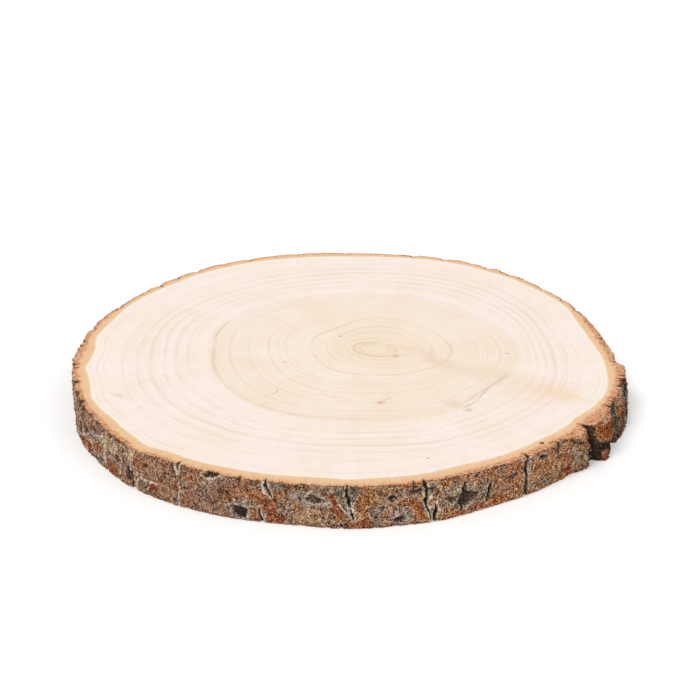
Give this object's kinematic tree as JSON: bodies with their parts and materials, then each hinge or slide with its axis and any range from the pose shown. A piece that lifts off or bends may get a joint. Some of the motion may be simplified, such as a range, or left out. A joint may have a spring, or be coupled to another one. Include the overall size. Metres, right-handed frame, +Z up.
{
  "type": "wood slice",
  "caption": "Round slice of a tree trunk sawn flat on both faces, with natural bark around its edge; lies flat as a serving board, stand or table centrepiece.",
  "frame": {"origin": "centre of the slice's bounding box, on the plane it rests on", "axes": "+Z up through the thickness, +X along the longest way across the slice, +Y towards the back, so that -Y faces the side with the eyes and the fissured plates"},
  "size_m": [0.3, 0.287, 0.024],
  "materials": {
    "wood": "bare sawn end grain, fine sanded, matt; rough grey-brown bark on the edge"
  },
  "bodies": {
    "root": {"wood_slice": "wood"}
  },
  "joints": []
}
